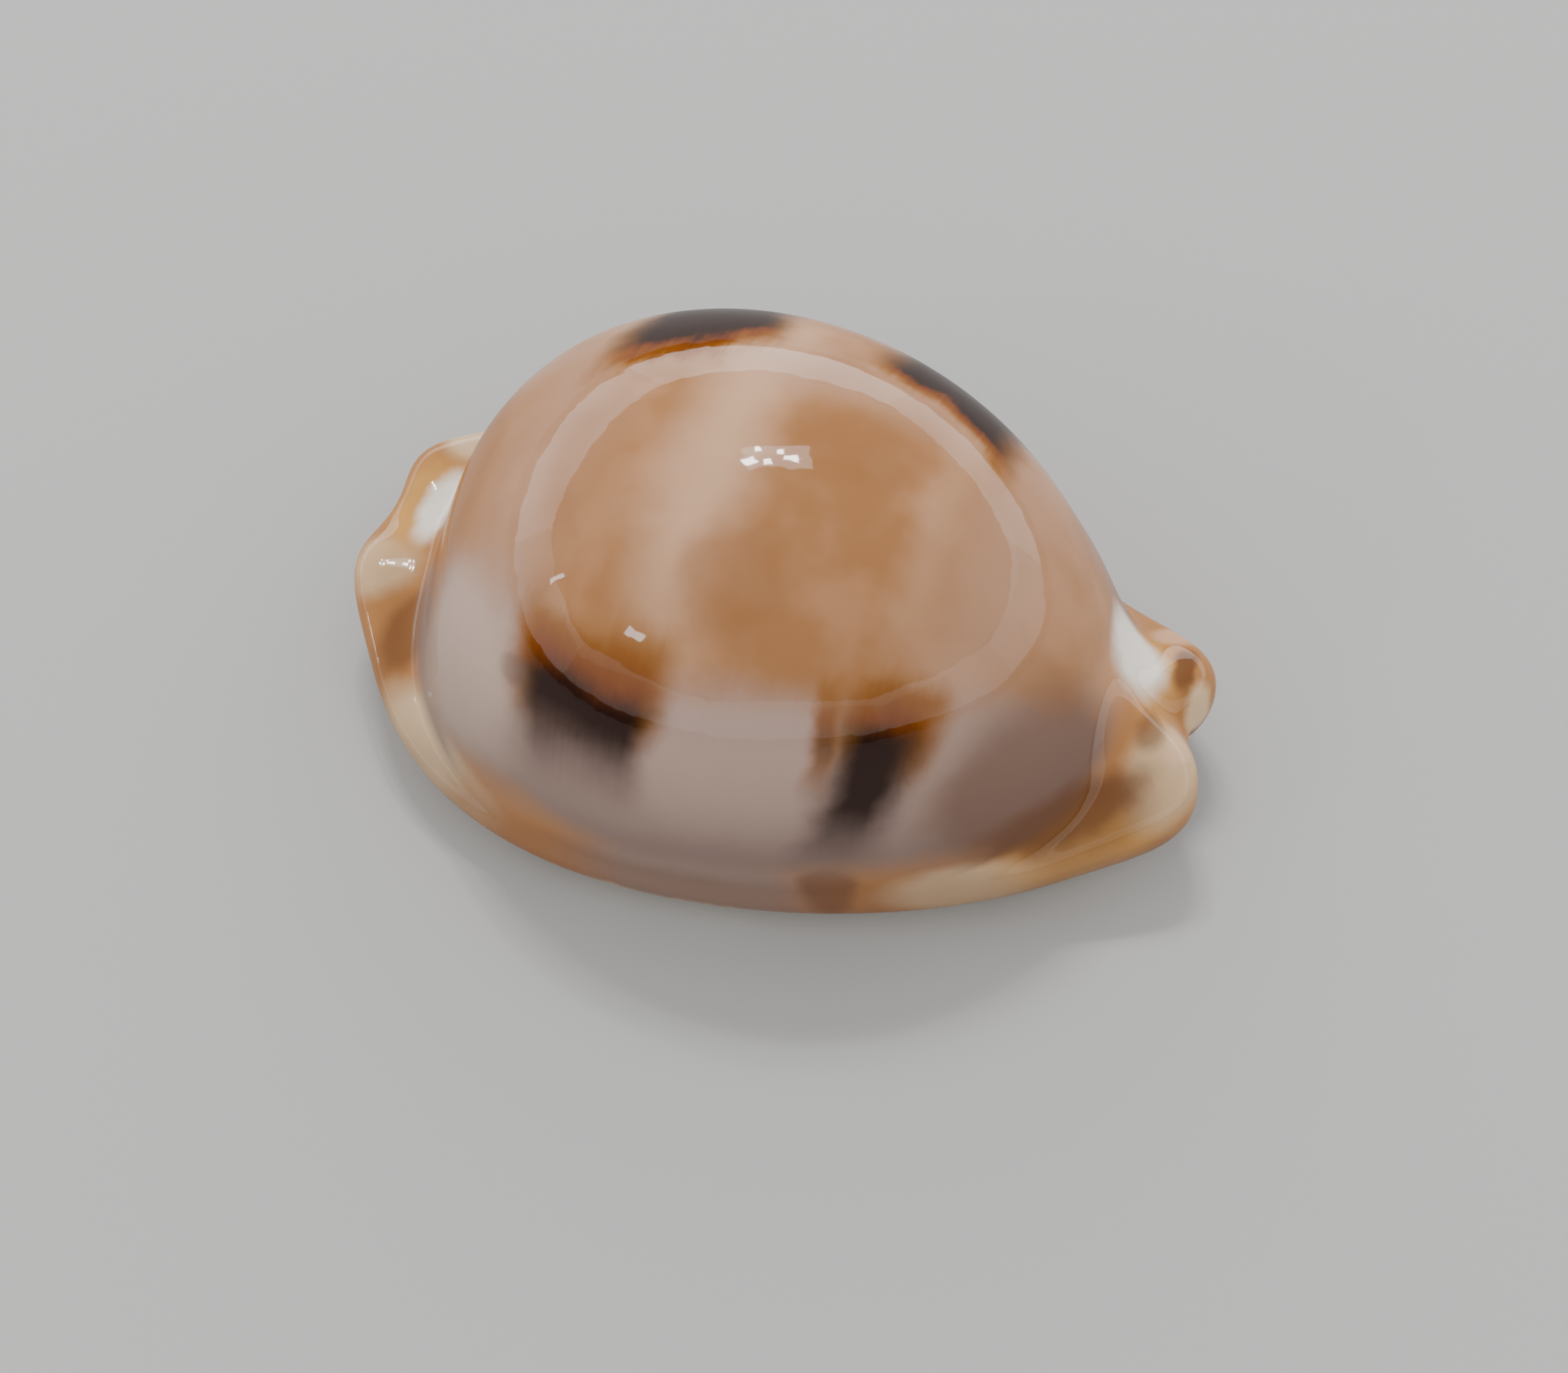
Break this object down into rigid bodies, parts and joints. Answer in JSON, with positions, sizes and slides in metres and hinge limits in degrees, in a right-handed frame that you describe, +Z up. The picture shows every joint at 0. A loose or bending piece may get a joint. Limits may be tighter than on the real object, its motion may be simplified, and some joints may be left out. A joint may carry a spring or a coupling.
{
  "type": "cowrie shell",
  "caption": "Hollow cowrie shell: glossy domed back, inrolled lips beside a long slit in its flat-resting base, and a notched canal between raised ears at each end.",
  "frame": {"origin": "on the resting plane, under the middle of the shell's length and width", "axes": "+Z up from the base to the crown, +X along the shell to the narrow front canal, -Y towards the outer lip"},
  "size_m": [0.03, 0.02, 0.0143],
  "materials": {
    "shell": "natural porcelain-like gloss, tan crown with pale bands, dark brown blotches and cream margins"
  },
  "bodies": {
    "root": {"shell": "shell"}
  },
  "joints": []
}
